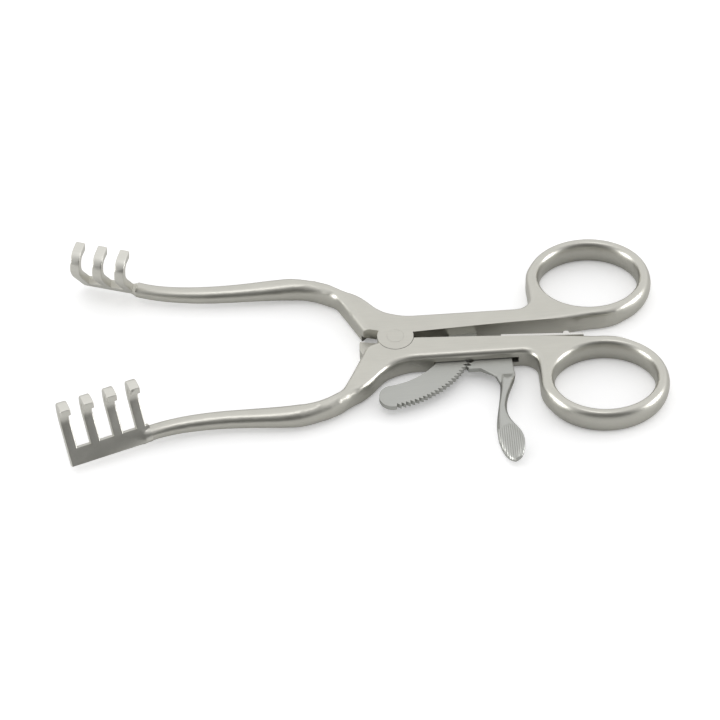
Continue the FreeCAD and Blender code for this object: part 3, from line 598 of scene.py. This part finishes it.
class DressRatchet(bpy.types.Operator):
    """Make the toothed bar"""
    bl_idname = "retractor.ratchet"
    bl_label = "Ratchet bar"

    def execute(self, context):
        smooth_piece("ratchet_bar", ratchet_steel())
        return {"FINISHED"}


PLATE_END, STEM_END = -0.009, -0.020
SWELL_START, SWELL_SLOPE = -0.0118, 0.35   # from here the stem may grow thicker than the plate
PAWL_X, PAWL_FOOT = 0.0197, -0.0095
PAWL_SPARE = 0.0001                        # vertices this close to the new foot stay in place


def shape_lever(mesh):
    """Let the stem start flush in the lever's plate, and draw in the foot of the pawl."""
    shape = bmesh.new()
    shape.from_mesh(mesh)
    plate = [vert.co.z for vert in shape.verts if vert.co.y > PLATE_END]
    low, high = min(plate), max(plate)
    for vert in shape.verts:
        point = vert.co
        spare = max(SWELL_START - point.y, 0) * SWELL_SLOPE
        if STEM_END < point.y < PLATE_END:
            point.z = min(max(point.z, low - spare), high + spare)
        if point.x < PAWL_X and point.y < PAWL_FOOT - PAWL_SPARE:
            point.y = PAWL_FOOT
    shape.to_mesh(mesh)
    shape.free()


class DressLever(bpy.types.Operator):
    """Make the release lever with its ribbed thumb pad"""
    bl_idname = "retractor.lever"
    bl_label = "Release lever"

    def execute(self, context):
        lever = smooth_piece("release_lever", ratchet_steel())
        shape_lever(lever.data)
        relax_zone(lever.data, in_shoulder, SHOULDER_GRAIN, SHOULDER_ROUNDS)
        cut_pad_ribs(lever.data)
        mark_sharp_edges(lever.data)
        return {"FINISHED"}


HEAD_DEPTH, HEAD_SWELL = 0.0011, 0.3


def swell_head(mesh):
    """Raise the dome of the screw's head, outward and up."""
    shape = bmesh.new()
    shape.from_mesh(mesh)
    face = max(vert.co.y for vert in shape.verts) - HEAD_DEPTH
    for vert in shape.verts:
        beyond = max(vert.co.y - face, 0)
        vert.co += Vector((0, beyond * HEAD_SWELL, beyond * HEAD_SWELL))
    shape.to_mesh(mesh)
    shape.free()


class DressSpring(bpy.types.Operator):
    """Make the leaf spring, its domed screw and its steady pin"""
    bl_idname = "retractor.spring"
    bl_label = "Leaf spring"

    def execute(self, context):
        for node in ("leaf_spring", "spring_screw", "spring_steady_pin"):
            piece = smooth_piece(node, bright_steel())
            if node == "spring_screw":
                swell_head(piece.data)
        return {"FINISHED"}


class SetStage(bpy.types.Operator):
    """Set the white table, the soft lights and the camera"""
    bl_idname = "retractor.stage"
    bl_label = "Table, light and camera"

    def execute(self, context):
        values = stage_values()
        set_table(values)
        set_lights(values)
        set_camera(values)
        return {"FINISHED"}


TABLE_SIZE = 3.0
TABLE_DROP = 0.00004


def set_table(values):
    """A level white table, a hair below the instrument and wide enough to fill the view."""
    shape = bmesh.new()
    bmesh.ops.create_grid(shape, x_segments=1, y_segments=1, size=TABLE_SIZE)
    bmesh.ops.translate(shape, verts=shape.verts, vec=(0, 0, -TABLE_DROP))
    mesh = bpy.data.meshes.new("table_top")
    shape.to_mesh(mesh)
    shape.free()
    table = bpy.data.objects.new("table_top", mesh)
    bpy.context.scene.collection.objects.link(table)
    mesh.materials.append(white_table(values))


def white_table(values):
    """A table that looks lit through to white, but throws only a pale grey back onto the steel."""
    material = bpy.data.materials.new("White Table")
    material.use_nodes = True
    tree = material.node_tree
    shader = tree.nodes["Principled BSDF"]
    shader.inputs["Base Color"].default_value = (*values.table_colour, 1)
    shader.inputs["Roughness"].default_value = 0.9
    shader.inputs["Specular IOR Level"].default_value = 0.1
    shader.inputs["Emission Color"].default_value = (1, 1, 1, 1)
    shader.inputs["Emission Strength"].default_value = values.table_glow
    grey = tree.nodes.new("ShaderNodeBsdfDiffuse")
    grey.inputs["Color"].default_value = (*values.bounce_colour, 1)
    rays = tree.nodes.new("ShaderNodeLightPath")
    choice = tree.nodes.new("ShaderNodeMixShader")
    link(tree, rays.outputs["Is Camera Ray"], choice.inputs[0])
    link(tree, grey.outputs[0], choice.inputs[1])
    link(tree, shader.outputs[0], choice.inputs[2])
    link(tree, choice.outputs[0], tree.nodes["Material Output"].inputs["Surface"])
    return material


SOFTBOX_SIZE = (0.34, 0.24)
OVERHEAD_PLACE = (-0.05, -0.26, 0.90)
LEFT_PLACE, RIGHT_PLACE = (-0.80, -0.22, 0.14), (0.80, -0.22, 0.14)
PALE_SIDE = (0.60, 0.62, 0.76)             # the room is palest this way and its mirrored way
DARK_TONE, PALE_TONE = (0.11, 0.11, 0.105, 1), (1, 1, 1, 1)
PALE_FROM = 0.85                           # the room is fully pale above this share of that way


def softbox(name, place, power):
    """A rectangular lamp that looks at the foot of the rivet."""
    lamp = bpy.data.lights.new(name, "AREA")
    lamp.shape = "RECTANGLE"
    lamp.size, lamp.size_y = SOFTBOX_SIZE
    lamp.energy = power
    made = bpy.data.objects.new(name, lamp)
    made.location = place
    made.rotation_euler = (-Vector(place)).to_track_quat("-Z", "Y").to_euler()
    bpy.context.scene.collection.objects.link(made)


def set_lights(values):
    """A softbox overhead, one at each side, and a room that is pale but for the viewer's side."""
    softbox("overhead_softbox", OVERHEAD_PLACE, values.key_power)
    softbox("left_softbox", LEFT_PLACE, values.side_power)
    softbox("right_softbox", RIGHT_PLACE, values.side_power)
    world = bpy.data.worlds.new("Pale Studio")
    bpy.context.scene.world = world
    world.use_nodes = True
    tree = world.node_tree
    tree.nodes.clear()
    out = tree.nodes.new("ShaderNodeOutputWorld")
    sky = tree.nodes.new("ShaderNodeBackground")
    sky.inputs["Strength"].default_value = 1.0
    place = tree.nodes.new("ShaderNodeTexCoord")
    parts = tree.nodes.new("ShaderNodeSeparateXYZ")
    link(tree, place.outputs["Generated"], parts.inputs[0])
    sideways = tree.nodes.new("ShaderNodeMath")
    sideways.operation = "ABSOLUTE"
    link(tree, parts.outputs["X"], sideways.inputs[0])
    folded = tree.nodes.new("ShaderNodeCombineXYZ")
    link(tree, sideways.outputs[0], folded.inputs["X"])
    link(tree, parts.outputs["Y"], folded.inputs["Y"])
    link(tree, parts.outputs["Z"], folded.inputs["Z"])
    toward = tree.nodes.new("ShaderNodeVectorMath")
    toward.operation = "DOT_PRODUCT"
    toward.inputs[1].default_value = PALE_SIDE
    link(tree, folded.outputs[0], toward.inputs[0])
    ramp = tree.nodes.new("ShaderNodeValToRGB")
    dark, pale = ramp.color_ramp.elements
    dark.position, dark.color = 0.0, DARK_TONE
    pale.position, pale.color = PALE_FROM, PALE_TONE
    link(tree, toward.outputs["Value"], ramp.inputs[0])
    link(tree, ramp.outputs[0], sky.inputs["Color"])
    link(tree, sky.outputs[0], out.inputs[0])


CAMERA_PLACE = (-0.027662, -0.443289, 0.474659)
CAMERA_RIGHT = (0.997568, -0.066349, -0.021349)
CAMERA_UP = (0.063071, 0.728942, 0.681664)
CAMERA_BACK = (-0.029665, -0.681353, 0.731354)
SENSOR_WIDTH = 36.0                        # millimetres


def set_camera(values):
    """The photograph's view: 47 degrees down, a little rolled, from 0.65 m."""
    lens = bpy.data.cameras.new("photo_view")
    lens.lens = values.focal_length
    lens.sensor_width = SENSOR_WIDTH
    lens.clip_start = 0.01
    camera = bpy.data.objects.new("photo_view", lens)
    turn = Matrix((CAMERA_RIGHT, CAMERA_UP, CAMERA_BACK)).transposed().to_4x4()
    camera.matrix_world = Matrix.Translation(CAMERA_PLACE) @ turn
    bpy.context.scene.collection.objects.link(camera)
    bpy.context.scene.camera = camera
    bpy.context.scene.view_settings.view_transform = "Standard"


STEPS = (DressArms, DressBlades, DressJoint, DressRatchet, DressLever, DressSpring, SetStage)


class RetractorPanel(bpy.types.Panel):
    """Buttons for every group of pieces"""
    bl_idname = "VIEW3D_PT_retractor"
    bl_label = "Self Retaining Retractor"
    bl_space_type = "VIEW_3D"
    bl_region_type = "UI"
    bl_category = "Retractor"

    def draw(self, context):
        for step in STEPS:
            self.layout.operator(step.bl_idname)


CLASSES = (SteelFinish, PieceSizes, StageLook) + STEPS + (RetractorPanel,)


def register():
    for entry in CLASSES:
        bpy.utils.register_class(entry)
    bpy.types.Scene.retractor_finish = bpy.props.PointerProperty(type=SteelFinish)
    bpy.types.Scene.retractor_sizes = bpy.props.PointerProperty(type=PieceSizes)
    bpy.types.Scene.retractor_stage = bpy.props.PointerProperty(type=StageLook)


def unregister():
    del bpy.types.Scene.retractor_finish
    del bpy.types.Scene.retractor_sizes
    del bpy.types.Scene.retractor_stage
    for entry in reversed(CLASSES):
        bpy.utils.unregister_class(entry)


def main():
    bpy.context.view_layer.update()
    register()
    bpy.ops.retractor.arms()
    bpy.ops.retractor.blades()
    bpy.ops.retractor.joint()
    bpy.ops.retractor.ratchet()
    bpy.ops.retractor.lever()
    bpy.ops.retractor.spring()
    bpy.ops.retractor.stage()


if __name__ == "__main__":
    main()
